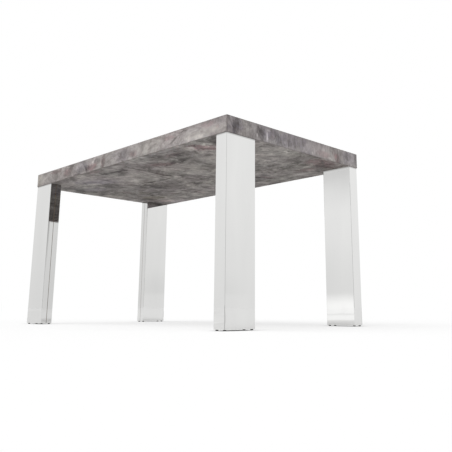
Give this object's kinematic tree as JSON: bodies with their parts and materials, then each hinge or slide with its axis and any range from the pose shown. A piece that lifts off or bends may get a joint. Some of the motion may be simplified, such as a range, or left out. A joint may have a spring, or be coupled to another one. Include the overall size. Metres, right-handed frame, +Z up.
{
  "type": "extendable dining table",
  "caption": "Rectangular dining table with a thick stone-look slab on box legs of polished sheet; its halves slide apart on hidden runners round a stored folding leaf.",
  "frame": {"origin": "on the floor, under the middle of the shut table's bounding box", "axes": "+X along the table's length towards the right half, +Y across it towards the back, +Z up"},
  "size_m": [1.434, 0.8, 0.75],
  "materials": {
    "stone_laminate_board": "matt laminate that looks like stained concrete, on board",
    "polished_sheet": "polished, slightly satin sheet",
    "board_core": "bare fibreboard and timber",
    "black_plastic": "moulded",
    "slider_plastic": "acetal liner",
    "gear_plastic": "moulded nylon",
    "extruded_bar": "mill extrusion",
    "zinc_plated_steel": "zinc plated"
  },
  "bodies": {
    "left_half": {"back_channel_left": "zinc_plated_steel", "back_edge_left": "stone_laminate_board", "catch_magnets": "zinc_plated_steel", "channel_collars_left": "slider_plastic", "corner_blocks_left": "board_core", "cross_ribs_left": "board_core", "end_edge_left": "stone_laminate_board", "front_channel_left": "zinc_plated_steel", "front_edge_left": "stone_laminate_board", "leg_core_back_left": "board_core", "leg_core_front_left": "board_core", "leg_glides_left": "black_plastic", "leg_plug_back_left": "black_plastic", "leg_plug_front_left": "black_plastic", "leg_sheet_back_left": "polished_sheet", "leg_sheet_front_left": "polished_sheet", "long_ribs_left": "board_core", "rack_left": "gear_plastic", "runner_screws_left": "zinc_plated_steel", "split_blocks_left": "board_core", "tie_rods_left": "zinc_plated_steel", "top_panel_left": "stone_laminate_board", "under_panel_left": "stone_laminate_board"},
    "right_half": {"back_channel_right": "zinc_plated_steel", "back_edge_right": "stone_laminate_board", "catch_plates": "zinc_plated_steel", "channel_collars_right": "slider_plastic", "corner_blocks_right": "board_core", "cross_ribs_right": "board_core", "dowels": "board_core", "end_edge_right": "stone_laminate_board", "front_channel_right": "zinc_plated_steel", "front_edge_right": "stone_laminate_board", "leg_core_back_right": "board_core", "leg_core_front_right": "board_core", "leg_glides_right": "black_plastic", "leg_plug_back_right": "black_plastic", "leg_plug_front_right": "black_plastic", "leg_sheet_back_right": "polished_sheet", "leg_sheet_front_right": "polished_sheet", "long_ribs_right": "board_core", "rack_right": "gear_plastic", "runner_screws_right": "zinc_plated_steel", "split_blocks_right": "board_core", "tie_rods_right": "zinc_plated_steel", "top_panel_right": "stone_laminate_board", "under_panel_right": "stone_laminate_board"},
    "carriage": {"back_bar": "extruded_bar", "bar_shoes": "slider_plastic", "carriage_fasteners": "zinc_plated_steel", "front_bar": "extruded_bar", "leaf_board_lower": "stone_laminate_board", "leaf_board_upper": "stone_laminate_board", "leaf_cradle_left": "zinc_plated_steel", "leaf_cradle_right": "zinc_plated_steel", "leaf_hinges": "zinc_plated_steel", "pinion_bracket": "zinc_plated_steel"},
    "pinion": {"sync_pinion": "gear_plastic"}
  },
  "joints": [
    {"name": "extend", "type": "slide", "parent": "left_half", "child": "right_half", "axis": [1, 0, 0], "range_m": [0, 0.45]},
    {"name": "carriage_travel", "type": "slide", "parent": "left_half", "child": "carriage", "axis": [1, 0, 0], "range_m": [0, 0.225]},
    {"name": "pinion_spin", "type": "hinge", "parent": "carriage", "child": "pinion", "pos_m": [0, 0.218, 0.714], "axis": [0, 1, 0], "range_deg": [0, 1289.2]}
  ],
  "couplings": [
    {"joint": "carriage_travel", "follows": "extend", "ratio": 0.5},
    {"joint": "pinion_spin", "follows": "extend", "rad_per_m": 50}
  ]
}
